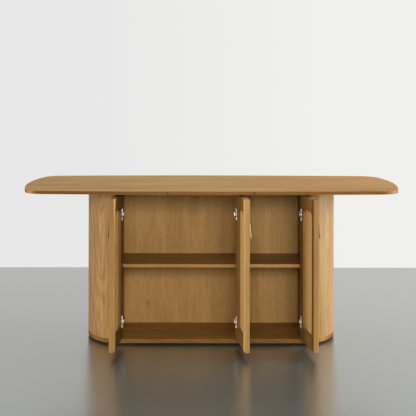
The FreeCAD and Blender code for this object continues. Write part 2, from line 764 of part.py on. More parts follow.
def make_hinge_fixed(door):
    """Mounting plates and cranked arms, each arm with a pivot pin."""
    plate_thickness = number("Sizes.plate_thickness")
    plate_length = number("Sizes.plate_length")
    setback = number("Sizes.plate_setback")
    width = number("Sizes.arm_width")
    pivot = Vector(number("Sizes.pivot_from_wall"), number("Sizes.pivot_from_front"), 0)
    pin_radius = number("Sizes.pivot_radius")
    eye = number("Sizes.eye_radius")
    play = number("Sizes.link_play")
    cheek = number("Sizes.cheek_thickness")
    overlap = number("Sizes.arm_overlap")
    arm_depth = eye + play
    outer = width + 2 * (play + cheek)
    plates = []
    arms = []
    for height in hinge_heights():
        plate = cornered_plate(plate_length, number("Sizes.plate_height"),
                               plate_thickness, number("Sizes.plate_corner"))
        plate.rotate(Vector(), Z_AXIS, -90)
        plate.translate(Vector(0, setback + plate_length / 2, 0))
        back = pivot.y + arm_depth
        profile = (
            (plate_thickness, setback + plate_length - overlap),
            (plate_thickness, setback),
            (pivot.x - eye, back),
            (pivot.x + eye, back),
            (pivot.x + eye, back + eye),
            (plate_thickness + 2 * overlap, setback + 2 * overlap),
            (plate_thickness + 2 * overlap, setback + plate_length - overlap),
        )
        arm = flat_bar(profile, outer)
        for side in (-1, 1):
            low = width / 2 + play if side > 0 else -outer / 2
            base = pivot + Vector(0, 0, low)
            corner = base - Vector(eye, eye, 0)
            arm = arm.fuse(Part.makeBox(2 * eye, arm_depth + eye, cheek, corner))
        pin = Part.makeCylinder(pin_radius, outer, pivot - Vector(0, 0, outer / 2))
        arm = arm.fuse(pin).removeSplitter()
        plates.append(from_wall(door, plate, height))
        arms.append(from_wall(door, arm, height))
    group(f"{door.name}_hinge_plates", plates)
    group(f"{door.name}_hinge_arms", arms)


def make_links(door):
    """Each hinge's link: an eye on the arm's pin and a bar out to the cup."""
    width = number("Sizes.arm_width")
    length = number("Sizes.link_length")
    thick = number("Sizes.link_thickness")
    pivot = Vector(number("Sizes.pivot_from_wall"), number("Sizes.pivot_from_front"), 0)
    hole = number("Sizes.pivot_radius + Sizes.pivot_play")
    low = Vector(0, 0, -width / 2)
    links = []
    for height in hinge_heights():
        eye = Part.makeCylinder(number("Sizes.eye_radius"), width, pivot + low)
        bar = Part.makeBox(thick, length, width, pivot + low - Vector(thick / 2, length, 0))
        bore = Part.makeCylinder(hole, width, pivot + low)
        link = eye.fuse(bar).cut(bore).removeSplitter()
        links.append(from_wall(door, link, height))
    group(f"{door.name}_hinge_links", links)


def make_pull(door):
    """A flared tab on the outer face: a screwed foot and a leaf that stands off."""
    label = f"{door.name}_pull"
    body = new_body(label)
    sketch = new_sketch(body, f"{label}_profile", "YZ_Plane",
                        door.across("Worked.door_width - Sizes.pull_free_edge_gap"
                                    " - Sizes.pull_width / 2"))
    depth = number("Sizes.pull_foot_depth")
    foot = number("Sizes.pull_foot_height")
    leaf = number("Sizes.pull_leaf_thickness")
    lift = number("Sizes.pull_leaf_lift")
    length = number("Sizes.pull_length")
    # x is the depth behind the outer face, so the pull lies at negative x
    points = (
        (0, 0),
        (0, -foot),
        (-lift + leaf, -length),
        (-lift - leaf / 2, -length),
        (-depth, -foot),
        (-depth, 0),
    )
    count = len(points)
    sketch.addGeometry([line(points[n], points[(n + 1) % count]) for n in range(count)])
    for edge in range(count):
        sketch.addConstraint(
            Sketcher.Constraint("Coincident", edge, 2, (edge + 1) % count, 1))
    sketch.addConstraint(Sketcher.Constraint("Coincident", 0, 1, *ORIGIN_POINT))
    for edge in (0, 4):
        sketch.addConstraint(Sketcher.Constraint("Vertical", edge))
    for edge in (2, 5):
        sketch.addConstraint(Sketcher.Constraint("Horizontal", edge))
    constrain(sketch, "foot", "Sizes.pull_foot_height", "DistanceY", 0, 2, 0, 1)
    constrain(sketch, "depth", "Sizes.pull_foot_depth", "DistanceX", 5, 1, 5, 2)
    constrain(sketch, "length", "Sizes.pull_length", "DistanceY", 2, 1, *ORIGIN_POINT)
    constrain(sketch, "lift", "Sizes.pull_leaf_lift - Sizes.pull_leaf_thickness",
              "DistanceX", 2, 1, *ORIGIN_POINT)
    constrain(sketch, "tip", "1.5 * Sizes.pull_leaf_thickness", "DistanceX", 2, 2, 2, 1)
    constrain(sketch, "knee", "Sizes.pull_foot_height", "DistanceY", 4, 1, *ORIGIN_POINT)
    pad(body, sketch, "Sizes.pull_width", midplane=True)

    def top_outer(edge):
        box = edge.BoundBox
        return abs(box.ZMin) < 1e-6 and is_level(edge) and abs(box.YMax + depth) < 1e-6

    dress(body, "Fillet", "Radius", "Sizes.pull_foot_round", top_outer)
    top_height = number("Worked.door_height - Sizes.pull_from_top")
    placement = door.open_placement()
    lift_up = Placement(Vector(0, 0, top_height), Rotation())
    body.Placement = placement.multiply(lift_up)
    keep(body, label)


# ---------------------------------------------------------------- the whole table

slab("table_top", top_outline, "Sizes.top_thickness", "Worked.carcass_top",
     "Sizes.top_edge_bevel")
slab("plinth", lambda sketch: base_outline(sketch, "Sizes.plinth_inset"),
     "Sizes.plinth_height", "0")
slab("bottom_board", lambda sketch: base_outline(sketch, "0"), "Sizes.bottom_thickness",
     "Sizes.plinth_height", "Sizes.bottom_edge_bevel")
end_shell("left_end_shell", -1)
end_shell("right_end_shell", 1)
make_carcass()
make_shelf("left_shelf", "-Worked.inner_half", "Worked.divider_left")
make_shelf("right_shelf", "Worked.divider_right", "Worked.inner_half")
for each_door in DOORS:
    make_door_frame(each_door)
    make_door_panel(each_door)
    make_cups(each_door)
    make_hinge_fixed(each_door)
    make_links(each_door)
    make_pull(each_door)

doc.recompute()
for item in doc.Objects:
    if "Invalid" in item.State or "Error" in item.State:
        raise RuntimeError(f"{item.Label} failed: {item.State}")
for item in parts:
    if item.Shape.isNull() or not item.Shape.isValid():
        raise RuntimeError(f"{item.Label} has no valid shape")
os.makedirs("parts", exist_ok=True)
for item in parts:
    item.Shape.exportStep(f"parts/{item.Label}.step")
    box = item.Shape.BoundBox
    print(f"{item.Label:22s} solids {len(item.Shape.Solids)} volume {item.Shape.Volume:12.1f}"
          f" x {box.XMin:8.1f} {box.XMax:8.1f} y {box.YMin:8.1f} {box.YMax:8.1f}"
          f" z {box.ZMin:7.1f} {box.ZMax:7.1f}")
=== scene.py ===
import json
import math

import bmesh
import bpy
from mathutils import Matrix, Vector


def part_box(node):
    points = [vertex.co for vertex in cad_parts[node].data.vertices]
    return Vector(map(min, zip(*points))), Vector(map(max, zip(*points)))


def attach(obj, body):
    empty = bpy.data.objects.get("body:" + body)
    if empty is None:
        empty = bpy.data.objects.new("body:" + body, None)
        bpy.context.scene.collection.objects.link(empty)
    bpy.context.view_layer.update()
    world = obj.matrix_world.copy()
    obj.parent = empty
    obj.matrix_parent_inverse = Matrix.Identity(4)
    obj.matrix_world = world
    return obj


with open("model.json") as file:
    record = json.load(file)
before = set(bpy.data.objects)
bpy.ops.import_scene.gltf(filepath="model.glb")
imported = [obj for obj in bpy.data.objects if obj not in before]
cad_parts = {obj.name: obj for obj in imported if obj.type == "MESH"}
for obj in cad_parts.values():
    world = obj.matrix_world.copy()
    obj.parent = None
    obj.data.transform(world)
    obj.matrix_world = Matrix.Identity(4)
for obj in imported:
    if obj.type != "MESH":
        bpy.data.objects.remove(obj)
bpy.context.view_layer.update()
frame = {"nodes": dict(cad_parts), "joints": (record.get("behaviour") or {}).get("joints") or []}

# Looks of the storage table: veneers, metal, screws, floor, light and camera.
# Metres, in the CAD frame: +Z up, the doors towards -Y. At rest the doors are open.


# ---------------------------------------------------------------- node helpers

# the Mix node's sockets for colours
MIX_FIRST = 6
MIX_SECOND = 7
MIX_RESULT = 2


class Graph:
    """A short way to write a node tree."""

    def __init__(self, tree):
        self.tree = tree

    def node(self, kind, inputs=None, **settings):
        made = self.tree.nodes.new(f"ShaderNode{kind}")
        for name, value in settings.items():
            setattr(made, name, value)
        for name, value in (inputs or {}).items():
            self.feed(made.inputs[name], value)
        return made

    def feed(self, socket, value):
        if isinstance(value, bpy.types.NodeSocket):
            self.tree.links.new(value, socket)
        else:
            socket.default_value = value

    def operate(self, kind, operation, values):
        made = self.node(kind, operation=operation)
        for socket, value in zip(made.inputs, values):
            self.feed(socket, value)
        return made.outputs

    def math(self, operation, *values):
        return self.operate("Math", operation, values)["Value"]

    def vector(self, operation, *values):
        return self.operate("VectorMath", operation, values)

    def add(self, first, *others):
        """The sum of two or more values."""
        total = first
        for other in others:
            total = self.math("ADD", total, other)
        return total

    def times(self, first, second):
        return self.math("MULTIPLY", first, second)

    def split(self, vector):
        """The X, Y and Z of a vector."""
        return self.node("SeparateXYZ", {"Vector": vector}).outputs

    def ramp(self, value, low, high, out_low=0.0, out_high=1.0):
        """Map low..high to out_low..out_high with soft ends."""
        made = self.node("MapRange", {"Value": value, "From Min": low, "From Max": high,
                                      "To Min": out_low, "To Max": out_high},
                         interpolation_type="SMOOTHSTEP")
        return made.outputs["Result"]

    def turned(self, component, sign, low, high, level=1.0):
        """0 to level as this part of a normal goes from low to high; sign 0 is both ways."""
        if sign:
            reach = self.times(component, float(sign))
        else:
            reach = self.math("ABSOLUTE", component)
        return self.ramp(reach, low, high, 0.0, level)

    def noise(self, vector, scale, detail=3.0, roughness=0.55):
        made = self.node("TexNoise", {"Vector": vector, "Scale": scale, "Detail": detail,
                                      "Roughness": roughness})
        return made.outputs["Fac"]

    def stretch(self, vector, scale, offset=(0, 0, 0)):
        made = self.node("Mapping", {"Vector": vector, "Scale": scale,
                                     "Location": offset})
        return made.outputs["Vector"]

    def mix(self, factor, first, second):
        """Blend two colours."""
        made = self.node("Mix", {"Factor": factor}, data_type="RGBA")
        self.feed(made.inputs[MIX_FIRST], first)
        self.feed(made.inputs[MIX_SECOND], second)
        return made.outputs[MIX_RESULT]


class Finish(Graph):
    """The node tree of one material, round its Principled shader."""

    def __init__(self, name):
        self.material = bpy.data.materials.new(name)
        self.material.use_nodes = True
        super().__init__(self.material.node_tree)
        self.shader = self.tree.nodes["Principled BSDF"]
        coordinates = self.node("TexCoord").outputs
        self.place = coordinates["Object"]
        self.normal = coordinates["Normal"]

    def bump(self, height, strength, distance):
        made = self.node("Bump", {"Height": height, "Strength": strength,
                                  "Distance": distance})
        self.feed(self.shader.inputs["Normal"], made.outputs["Normal"])

    def finish(self, **values):
        for name, value in values.items():
            self.feed(self.shader.inputs[name.replace("_", " ")], value)
        return self.material


# ---------------------------------------------------------------- colours

def from_srgb(red, green, blue):
    """A colour written as on screen, 0 to 255, as linear light."""
    def linear(level):
        level /= 255
        return level / 12.92 if level <= 0.04045 else ((level + 0.055) / 1.055) ** 2.4
    return (linear(red), linear(green), linear(blue), 1.0)


def dimmed(colour, *shares):
    """A colour with these shares of its red, green and blue, or with one share of all."""
    shares = shares if len(shares) == 3 else shares * 3
    return tuple(level * share for level, share in zip(colour, shares)) + (1.0,)


# painted light: the colours of the paler, lit copy of the oak on the doors' inner faces
PAINTED_LIGHT_OAK = from_srgb(255, 219, 148)
PAINTED_LIGHT_OAK_RINGS = from_srgb(248, 187, 107)
END_GRAIN_SHARE = 0.45
BURNT_SHARE = 0.28
# painted shade: shares of the dark oak colour used where the oak is painted darker in shade
PAINTED_SHADE_SHARES = (0.5, 0.44, 0.26)


# ---------------------------------------------------------------- oak

# Stretch of the pattern for each way the grain can run.
PATTERNS = {
    "Z": {"coarse": (5.5, 5.5, 1.1), "fine": (1, 1, 0.05), "short": (1, 1, 0.22),
          "knot": (1.0, 1.0, 0.45)},
    "X": {"coarse": (1.1, 5.5, 5.5), "fine": (0.028, 1, 1), "short": (0.22, 1, 1),
          "knot": (0.45, 1.0, 1.0)},
}
DEPTH_SHARE = 0.83        # of Y in the leaves' width, so that they also go round the ends
SWAY = 0.10               # how far the leaves wander sideways
LEAF_BOW = 30.0           # how strongly the rings arch across a leaf
LEAF_SHIFT = 3.0          # how far the rings of one leaf lie from the next one's
RING_SCALE = 7.0          # rings to a metre along the grain
RING_DRIFT = 5.0          # how unevenly they follow each other
STREAK_SCALE = 75.0
CLOUD_SCALE = 1.6
PORE_SCALE = 620.0
RAY_SCALE = 170.0
STREAK_SHADE = 0.31       # what each layer adds to the shade, from light 0 to dark 1
CLOUD_SHADES = (-0.16, 0.20)
LEAF_SHADE = 0.16
PORE_SHADE = 0.22
STREAK_DEPTH = 0.4        # shares of the bump
PORE_DEPTH = 0.8
GRAIN_RELIEF = 0.0004
KNOT_CORE = 0.3           # share of a knot's radius that is darkest
KNOT_REACH = 5            # radii within which the rings bend round it
KNOT_SWIRL = 2.2
SEAM_CORE = 0.6
DARKEST_MARK = 0.9
SAWN_ROUGHNESS = 0.4
OAK_SPECULAR = 0.22


def knot_marks(g, knots, squeeze):
    """How dark the knots make a place, and how far they bend the rings round them."""
    darkness = 0.0
    swirl = 0.0
    for centre, radius, depth in knots:
        offset = g.vector("SUBTRACT", g.place, centre)["Vector"]
        distance = g.vector("LENGTH", g.stretch(offset, squeeze))["Value"]
        core = g.ramp(distance, radius, radius * KNOT_CORE, 0.0, depth)
        darkness = g.add(darkness, core)
        swirl = g.add(swirl, g.ramp(distance, radius * KNOT_REACH, 0.0, 0.0, KNOT_SWIRL))
    return darkness, swirl


def seam_marks(g, at, facing, seams):
    """How dark the joints in a board's front edge make a place."""
    joints = 0.0
    for middle, half_width in seams:
        away = g.math("ABSOLUTE", g.math("SUBTRACT", at["X"], middle))
        joints = g.add(joints, g.ramp(away, half_width, half_width * SEAM_CORE))
    return g.times(joints, g.turned(facing["Y"], -1, 0.5, 0.9))


def oak(name, light, dark, grain="Z", leaf=0.17, figure=0.3, seed=0.0, knots=(),
        roughness=0.48, painted_shade=None, streaks=0.36, seams=(), pale=None, flecks=0.0, ends=0.55):
    """Oak veneer laid in leaves: growth rings, streaks, flecks, pores and knots.

    Light and dark are colours as on screen. Grain is the axis it runs along. Leaf is the
    width of one leaf; knots are (place, radius, depth of colour), in metres.
    The rule given for painted shade takes the graph, place and normal and says where the
    oak is painted darker, as painted shade. Pale is such a rule for painted light, which
    paints the oak paler. Figure, streaks and flecks are the contrasts of the rings, of
    the fine lines and of the short pale rays. Seams are (x, half width) of joints in a
    front edge. Ends says how much darker sawn ends are.
    """
    g = Finish(name)
    light = from_srgb(*light)
    dark = from_srgb(*dark)
    pattern = PATTERNS[grain]
    at = g.split(g.place)
    facing = g.split(g.normal)
    if grain == "Z":
        across = g.add(at["X"], g.times(at["Y"], DEPTH_SHARE))
    else:
        across = g.add(at["Y"], at["Z"])

    drift = g.noise(g.stretch(g.place, pattern["coarse"], (seed, seed, seed)), 1.0, 2.0)
    sway = g.times(g.math("SUBTRACT", drift, 0.5), SWAY)
    leaves = g.math("DIVIDE", g.add(across, sway, seed), leaf)
    leaf_tone = g.node("TexWhiteNoise", {"W": g.math("FLOOR", leaves)},
                       noise_dimensions="1D").outputs["Value"]
    middle = g.math("SUBTRACT", g.math("FRACT", leaves), 0.5)
    bow = g.times(g.times(middle, middle), LEAF_BOW)
    climb = g.times(g.add(at[grain], g.times(leaf_tone, LEAF_SHIFT)), RING_SCALE)
    knot_mark, swirl = knot_marks(g, knots, pattern["knot"])
    rings = g.add(g.math("SUBTRACT", bow, climb), g.times(drift, RING_DRIFT), swirl)
    line = g.ramp(g.math("SINE", g.times(rings, 2 * math.pi)), -0.4, 1.0)

    fine = pattern["fine"]
    streak = g.noise(g.stretch(g.place, fine, (seed, 0, seed)), STREAK_SCALE, 5.0, 0.62)
    cloud = g.noise(g.stretch(g.place, pattern["coarse"], (0, seed, 0)), CLOUD_SCALE)
    pores = g.noise(g.stretch(g.place, fine, (0, 0, seed)), PORE_SCALE, 2.0)
    pores = g.ramp(pores, 0.60, 0.72)
    rays = g.noise(g.stretch(g.place, pattern["short"], (seed, seed, 0)), RAY_SCALE, 3.0, 0.7)

    half = streaks / 2
    shade = g.add(g.times(line, figure),
                  g.ramp(streak, 0.30, 0.72, STREAK_SHADE - half, STREAK_SHADE + half),
                  g.ramp(cloud, 0.3, 0.7, *CLOUD_SHADES),
                  g.times(leaf_tone, LEAF_SHADE),
                  g.times(pores, PORE_SHADE),
                  g.ramp(rays, 0.34, 0.66, flecks / 2, -flecks / 2))
    relief = g.math("SUBTRACT", g.times(streak, -STREAK_DEPTH), g.times(pores, PORE_DEPTH))
    g.bump(relief, 0.35, GRAIN_RELIEF)

    # sawn ends drink more oil and look darker and duller
    sawn = g.turned(facing[grain], 0, 0.75, 0.95)
    colour = g.mix(shade, light, dark)
    colour = g.mix(g.times(sawn, ends), colour, dimmed(dark, END_GRAIN_SHARE))
    # painted shade: where the rule says, the oak turns towards a dark copy of itself
    if painted_shade:
        colour = g.mix(painted_shade(g, at, facing), colour, dimmed(dark, *PAINTED_SHADE_SHARES))
    # painted light: where the rule says, the oak turns towards a paler copy that keeps its grain
    if pale:
        painted_light_tone = g.mix(shade, PAINTED_LIGHT_OAK, PAINTED_LIGHT_OAK_RINGS)
        colour = g.mix(pale(g, at, facing), colour, painted_light_tone)
    if knots or seams:
        marks = g.add(knot_mark, seam_marks(g, at, facing, seams))
        marks = g.math("MINIMUM", marks, DARKEST_MARK)
        colour = g.mix(marks, colour, dimmed(dark, BURNT_SHARE))
    rough = g.ramp(streak, 0.2, 0.8, roughness - 0.05, roughness + 0.09)
    rough = g.add(rough, g.times(sawn, SAWN_ROUGHNESS))
    g.shader.inputs["Specular IOR Level"].default_value = OAK_SPECULAR
    return g.finish(Base_Color=colour, Roughness=rough)


# ---------------------------------------------------------------- where painted shade darkens the oak and painted light makes it pale

# The painted shade and painted light on an open door's inner face change where its free
# stile ends, a little behind the panel's front edge, which stands in the stile's groove.
PANEL_IN_STILE = 0.012
STILE_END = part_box("right_door_panel")[0].y + PANEL_IN_STILE
STILE_FADE = 0.004
# the painted shade on a front edge has one level at the left and another at the right, blended
# between these X
EDGE_FADE = (-0.6, -0.1)  # the X between which a front edge's two levels blend


def front_edge_shade(left_level, right_level):
    """A board's long front edge with painted shade, darker than its rounded corners."""
    def rule(g, at, facing):
        level = g.ramp(at["X"], *EDGE_FADE, left_level, right_level)
        return g.times(g.turned(facing["Y"], -1, 0.7, 0.97), level)
    return rule


def upper_face_shade(level):
    """A shelf's upper face with painted shade, darker than its front edge."""
    def rule(g, at, facing):
        return g.turned(facing["Z"], 1, 0.7, 0.9, level)
    return rule


def side_faces_shade(level):
    """A wall's broad faces with painted shade, darker than its front edge."""
    def rule(g, at, facing):
        return g.turned(facing["X"], 0, 0.7, 0.9, level)
    return rule


def past_free_stile(g, at, on_it, behind_it):
    """One value on an open door's free stile and another behind it."""
    return g.ramp(at["Y"], STILE_END - STILE_FADE, STILE_END, on_it, behind_it)


def door_inside_shade(side, free_level, hinge_level, wall_level):
    """The inside of a door frame and its window's walls; its free edge stays pale.

    Side is +1 where the door hangs on a left wall and -1 on a right one. The levels of
    painted shade are for the free stile, the hinge stile and the window's wall at the
    hinge stile.
    """
    # painted shade on the inner faces of the stiles and of the window's wall; none on the free
    # edge
    def rule(g, at, facing):
        outward = g.times(facing["X"], -side)
        inside = g.ramp(outward, 0.3, 0.7, 1.0, 0.0)
        behind = past_free_stile(g, at, 0.0, 1.0)
        sideways_shade = g.add(free_level, g.times(behind, hinge_level - free_level))
        wall = g.times(behind, wall_level)
        forward = g.turned(facing["Y"], -1, 0.5, 0.9)
        gain = g.times(forward, g.math("SUBTRACT", wall, sideways_shade))
        return g.times(inside, g.add(sideways_shade, gain))
    return rule


def inner_face_light(side, level):
    """The inner face of a door's panel, painted paler than its outer face as painted light."""
    def rule(g, at, facing):
        return g.turned(facing["X"], side, 0.5, 0.9, level)
    return rule


def free_stile_light(side, level):
    """The inner face of a door's free stile, painted paler than the rest of the inside as
    painted light.
    """
    def rule(g, at, facing):
        inside = inner_face_light(side, level)(g, at, facing)
        return g.times(inside, past_free_stile(g, at, 1.0, 0.0))
    return rule


# ---------------------------------------------------------------- metal and stain

# painted shade: share of the worn colour that metal faces looking sideways are painted with
SIDEWAYS_SHADE_SHARE = 0.2
METAL_RELIEF = 0.0001
STAIN_RELIEF = 0.0005


def metal(name, colour, worn, roughness, brushed=(1, 1, 1), sideways_shade=0.0, bare=1.0):
    """A plated metal with a faint brushed or clouded surface.

    The argument for painted shade says how much darker the broad faces, which look
    sideways, are painted than the rims.
    Bare is 1 for plain metal and less under a coat of lacquer.
    """
    g = Finish(name)
    cloud = g.noise(g.stretch(g.place, brushed), 240.0, 4.0)
    wear = g.ramp(cloud, 0.35, 0.7, 0.0, 0.8)
    tint = g.mix(wear, dimmed(colour, 1.0), dimmed(worn, 1.0))
    # painted shade: faces that look sideways turn towards a dark copy of the worn colour
    sideways = g.turned(g.split(g.normal)["X"], 0, 0.6, 0.9, sideways_shade)
    tint = g.mix(sideways, tint, dimmed(worn, SIDEWAYS_SHADE_SHARE))
    rough = g.ramp(cloud, 0.3, 0.7, roughness - 0.05, roughness + 0.08)
    g.bump(cloud, 0.12, METAL_RELIEF)
    return g.finish(Base_Color=tint, Metallic=bare, Roughness=rough)


def stained_black(name):
    """Black stain on a board, a little uneven along it."""
    g = Finish(name)
    cloud = g.noise(g.stretch(g.place, (1, 8, 8)), 20.0, 4.0)
    colour = g.mix(cloud, (0.008, 0.007, 0.006, 1), (0.022, 0.019, 0.016, 1))
    g.bump(cloud, 0.2, STAIN_RELIEF)
    return g.finish(Base_Color=colour, Roughness=g.ramp(cloud, 0.2, 0.8, 0.55, 0.75))


# ---------------------------------------------------------------- finish of each node

TOP_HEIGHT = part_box("table_top")[1].z
BACK_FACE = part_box("back_panel")[0].y
SIDES = {"left": 1, "middle": -1, "right": -1}  # +1 where a door hangs on a left wall
BOARD = {"light": (170, 124, 64), "dark": (118, 76, 30),
         "leaf": 0.24, "figure": 0.25, "seed": 1.3}
LEVEL_BOARD = {"grain": "X", "leaf": 0.2, "figure": 0.2}
DOOR = {"leaf": 0.13, "figure": 0.12, "streaks": 0.25, "ends": 0.1}

# painted shade on the top's front edge, heavier at the left end
OAK_TOP = oak("oak_top", (184, 139, 66), (137, 92, 30), grain="X", leaf=0.21, figure=0.2,
              seed=3.1, roughness=0.55, streaks=0.62, painted_shade=front_edge_shade(0.95, 0.7),
              seams=((0.202, 0.0052), (-0.207, 0.0042)),
              knots=(((-0.298, 0.042, TOP_HEIGHT), 0.007, 1.0),
                     ((0.654, 0.019, TOP_HEIGHT), 0.007, 1.0)))
OAK_SHELL_LEFT = oak("oak_shell_left", (190, 149, 96), (142, 98, 51), leaf=0.19,
                     figure=0.27, seed=7.7, streaks=0.56, flecks=0.12,
                     knots=(((-0.482, -0.245, 0.585), 0.010, 1.0),))
OAK_SHELL_RIGHT = oak("oak_shell_right", (172, 139, 90), (136, 102, 55), leaf=0.19,
                      figure=0.26, seed=2.9, streaks=0.45, flecks=0.08)
OAK_BOARD = oak("oak_board", **BOARD)
# painted shade on the walls' broad faces inside the recesses
OAK_WALL = oak("oak_wall", painted_shade=side_faces_shade(0.35), **BOARD)
OAK_BACK = oak("oak_back", (208, 163, 98), (156, 114, 56), leaf=0.19, figure=0.07,
               seed=4.9, streaks=0.2, flecks=0.2,
               knots=(((-0.324, BACK_FACE, 0.130), 0.010, 0.4),))
# painted shade on both shelves' upper faces; the right shelf is a lit copy, its colours painted
# lighter as painted light
OAK_SHELF_LEFT = oak("oak_shelf", (190, 143, 80), (132, 88, 34), seed=5.6,
                     painted_shade=upper_face_shade(0.25), **LEVEL_BOARD)
OAK_SHELF_RIGHT_PAINTED_LIGHT = oak("oak_shelf_right_painted_light", (205, 161, 102), (154, 109, 56), seed=3.7,
                      painted_shade=upper_face_shade(0.5), **LEVEL_BOARD)
# a dark copy of the oak for the ceiling board: painted shade under the top
OAK_CEILING_PAINTED_SHADE = oak("oak_ceiling_painted_shade", (104, 74, 36), (72, 46, 15), seed=6.9, **LEVEL_BOARD)
# painted shade on the bottom board's front edge
OAK_BOTTOM = oak("oak_bottom", (174, 126, 55), (117, 75, 20), seed=8.1,
                 painted_shade=front_edge_shade(0.42, 0.34), **LEVEL_BOARD)
# lit and shaded copies: each door's frame colours are painted lighter or darker by the light it
# gets, with painted shade inside and, on the left and middle doors, painted light on the free
# stile
LIT_AND_SHADED_DOORS = {
    "left": oak("oak_door_left", (166, 126, 70), (123, 86, 38), seed=9.2,
                painted_shade=door_inside_shade(SIDES["left"], 0.1, 0.95, 0.5),
                pale=free_stile_light(SIDES["left"], 0.45), **DOOR),
    "middle": oak("oak_door_middle", (186, 144, 86), (140, 99, 47), seed=6.4,
                  painted_shade=door_inside_shade(SIDES["middle"], 0.0, 0.5, 0.7),
                  pale=free_stile_light(SIDES["middle"], 0.75),
                  knots=(((0.154, -0.536, 0.614), 0.004, 1.0),), **DOOR),
    "right": oak("oak_door_right", (174, 134, 76), (132, 92, 42), seed=5.2,
                 painted_shade=door_inside_shade(SIDES["right"], 0.76, 0.2, 0.0), **DOOR),
}
# painted light on the panels' inner faces, at a level for each door
OAK_PANELS = {
    door: oak(f"oak_{door}_panel", (190, 147, 90), (144, 102, 50), leaf=0.15, figure=0.2,
              seed=2.4, pale=inner_face_light(SIDES[door], level))
    for door, level in (("left", 0.75), ("middle", 0.85), ("right", 1.0))}

# painted shade on the nickel's broad faces that look sideways
NICKEL = metal("nickel", (0.86, 0.81, 0.72), (0.76, 0.71, 0.62), 0.45, sideways_shade=0.66)
STEEL = metal("steel", (0.30, 0.27, 0.23), (0.20, 0.18, 0.15), 0.36)
ARM_STEEL = metal("arm_steel", (0.13, 0.11, 0.09), (0.08, 0.07, 0.06), 0.4)
# lit and shaded copies of one metal: each door's links are painted lighter or darker by the
# light they get
LIT_AND_SHADED_LINKS = {
    door: metal(f"{door}_link", (level, level * 0.9, level * 0.78),
                (level * 0.85, level * 0.74, level * 0.62), 0.4)
    for door, level in (("left", 0.5), ("middle", 0.9), ("right", 0.14))}
BRONZE = (0.24, 0.13, 0.055)
WORN_BRONZE = (0.15, 0.08, 0.03)
# the middle pull is a lit copy, its colour painted much lighter than the bronze of the others as
# painted light, with painted shade on its sideways faces
PULL_METALS = {
    door: metal(f"{door}_pull", colour, worn, 0.42, brushed=(1, 1, 0.15), sideways_shade=sideways_shade, bare=0.45)
    for door, colour, worn, sideways_shade in (
        ("left", BRONZE, WORN_BRONZE, 0.0),
        ("middle", (0.66, 0.47, 0.27), (0.50, 0.29, 0.13), 0.84),
        ("right", BRONZE, WORN_BRONZE, 0.0))}

FINISHES = {
    "table_top": OAK_TOP,
    "plinth": stained_black("black_plinth"),
    "bottom_board": OAK_BOTTOM,
    "left_end_shell": OAK_SHELL_LEFT,
    "right_end_shell": OAK_SHELL_RIGHT,
    "left_side_panel": OAK_WALL,
    "right_side_panel": OAK_WALL,
    "divider": OAK_BOARD,
    "ceiling_board": OAK_CEILING_PAINTED_SHADE,
    "back_panel": OAK_BACK,
    "rear_panel": OAK_SHELL_RIGHT,
    "left_shelf": OAK_SHELF_LEFT,
    "right_shelf": OAK_SHELF_RIGHT_PAINTED_LIGHT,
    "shelf_pins": NICKEL,
}
for door in SIDES:
    FINISHES[f"{door}_door_frame"] = LIT_AND_SHADED_DOORS[door]
    FINISHES[f"{door}_door_panel"] = OAK_PANELS[door]
    FINISHES[f"{door}_pull"] = PULL_METALS[door]
    FINISHES[f"{door}_hinge_cups"] = NICKEL
    FINISHES[f"{door}_hinge_plates"] = STEEL
    FINISHES[f"{door}_hinge_arms"] = ARM_STEEL
    FINISHES[f"{door}_hinge_links"] = LIT_AND_SHADED_LINKS[door]
for node_name, node in frame["nodes"].items():
    node.data.materials.clear()
    node.data.materials.append(FINISHES[node_name])


# ---------------------------------------------------------------- screws

# A screw head's half section as (reach, rise) in radii, from its rim to the cross.
HEAD_PROFILE = ((1.0, 0.0), (0.97, 0.22), (0.72, 0.36), (0.60, 0.38), (0.26, 0.40))
HEAD_SEGMENTS = 16
CROSS_FIRST_RING = 3
CROSS_ARMS = 4
CROSS_RISE = -0.25


def add_screw(mesh, place, facing, radius):
    """A domed screw head with a cross recess, its axis along facing."""
    turn = Vector(facing).to_track_quat("Z", "Y").to_matrix().to_4x4()
    home = Matrix.Translation(place) @ turn
    recess = CROSS_RISE * radius
    rings = []
    for level, (reach, rise) in enumerate(HEAD_PROFILE):
        ring = []
        for step in range(HEAD_SEGMENTS):
            angle = 2 * math.pi * step / HEAD_SEGMENTS
            height = rise * radius
            if level >= CROSS_FIRST_RING and step % (HEAD_SEGMENTS // CROSS_ARMS) == 0:
                height = recess
            spot = Vector((math.cos(angle) * reach * radius,
                           math.sin(angle) * reach * radius, height))
            ring.append(mesh.verts.new(home @ spot))
        rings.append(ring)
    for outer, inner in zip(rings, rings[1:]):
        for step in range(HEAD_SEGMENTS):
            after = (step + 1) % HEAD_SEGMENTS
            mesh.faces.new((outer[step], outer[after], inner[after], inner[step]))
    middle = mesh.verts.new(home @ Vector((0, 0, recess)))
    for step in range(HEAD_SEGMENTS):
        mesh.faces.new((rings[-1][step], rings[-1][(step + 1) % HEAD_SEGMENTS], middle))
    mesh.faces.new(rings[0][::-1])


def screws(name, body, spots, radius, finish):
    """One piece with a screw head at each (place, facing)."""
    mesh = bmesh.new()
    for place, facing in spots:
        add_screw(mesh, place, facing, radius)
    data = bpy.data.meshes.new(name)
    mesh.to_mesh(data)
    mesh.free()
    item = bpy.data.objects.new(name, data)
    bpy.context.scene.collection.objects.link(item)
    data.materials.append(finish)
    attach(item, body)


# The cups' screws are placed from the joint's axis and the plates' from the plates' box.
HINGE_HEIGHTS = (0.1185, 0.636)
FLANGE_FROM_AXIS = 0.025
CUP_FROM_AXIS = 0.026
CUP_SCREW_RISE = 0.024
CUP_SCREW_RADIUS = 0.0026
PLATE_SCREW_RISE = 0.016
PLATE_SCREW_RADIUS = 0.004


